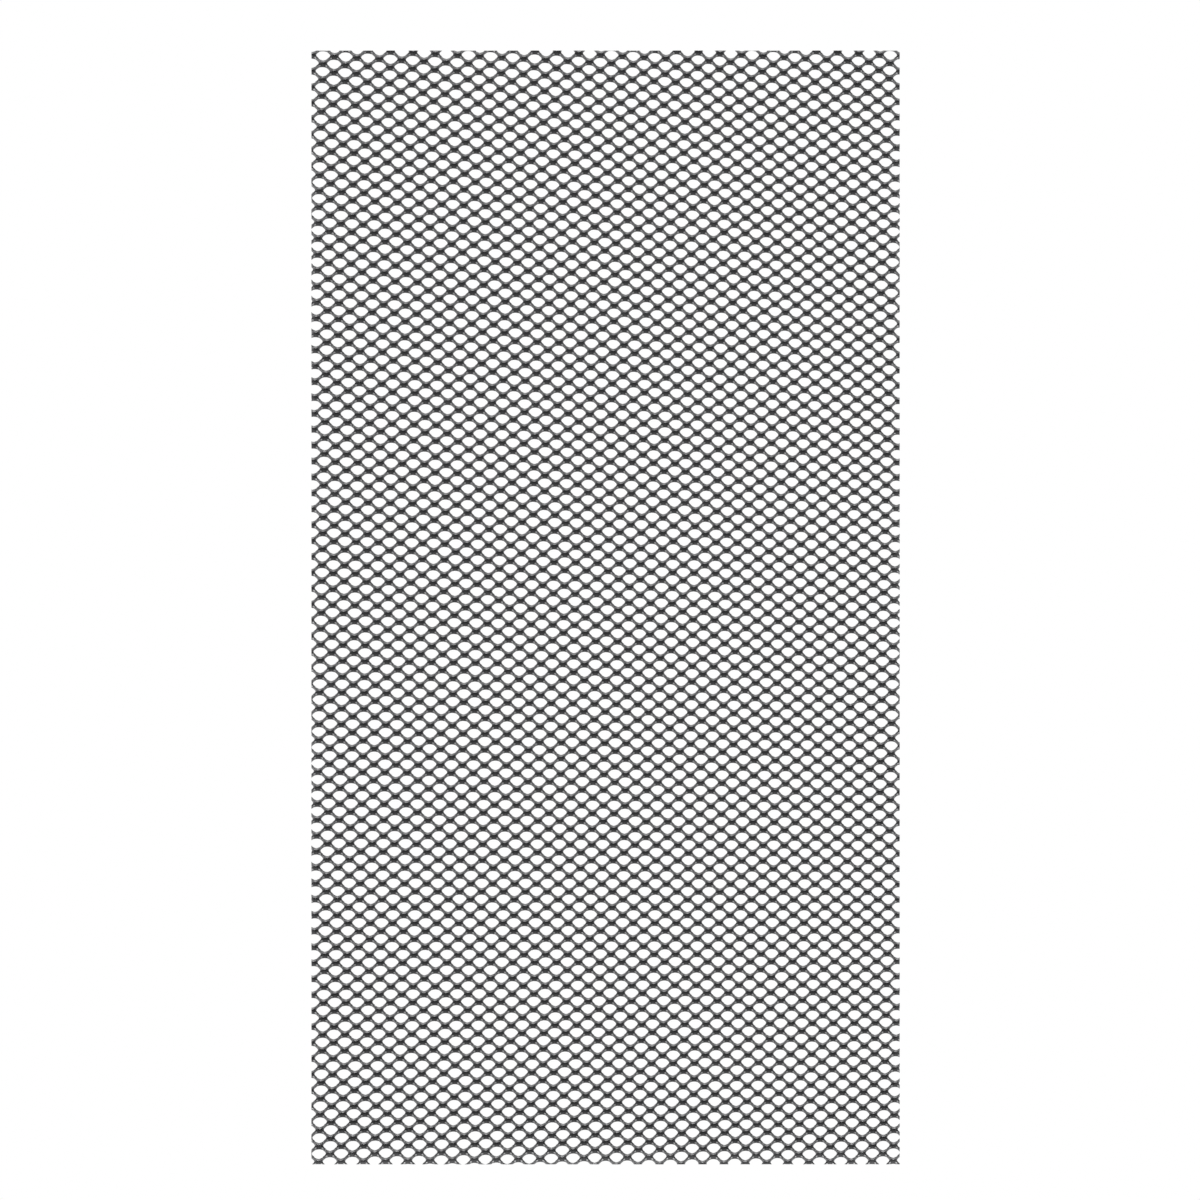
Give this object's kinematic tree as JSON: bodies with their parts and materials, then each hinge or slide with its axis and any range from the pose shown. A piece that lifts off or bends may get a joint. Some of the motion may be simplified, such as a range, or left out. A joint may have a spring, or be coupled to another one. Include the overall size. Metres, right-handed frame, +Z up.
{
  "type": "expanded metal mesh sheet",
  "caption": "Flat sheet of raised expanded aluminium mesh with staggered diamond openings, each arched at the top and pointed at the foot, in a dark satin finish.",
  "frame": {"origin": "middle of the sheet's outline, on the plane that it rests on", "axes": "+X along the long way of the diamonds, +Y along the length of the sheet and the short way of the diamonds, towards their arched side, +Z up out of the sheet"},
  "size_m": [0.27, 0.5112, 0.0037],
  "materials": {
    "aluminium": "dark satin, with lighter sheared faces"
  },
  "bodies": {
    "root": {"mesh_band_01": "aluminium", "mesh_band_02": "aluminium", "mesh_band_03": "aluminium", "mesh_band_04": "aluminium", "mesh_band_05": "aluminium", "mesh_band_06": "aluminium", "mesh_band_07": "aluminium", "mesh_band_08": "aluminium", "mesh_band_09": "aluminium", "mesh_band_10": "aluminium", "mesh_band_11": "aluminium", "mesh_band_12": "aluminium"}
  },
  "joints": []
}
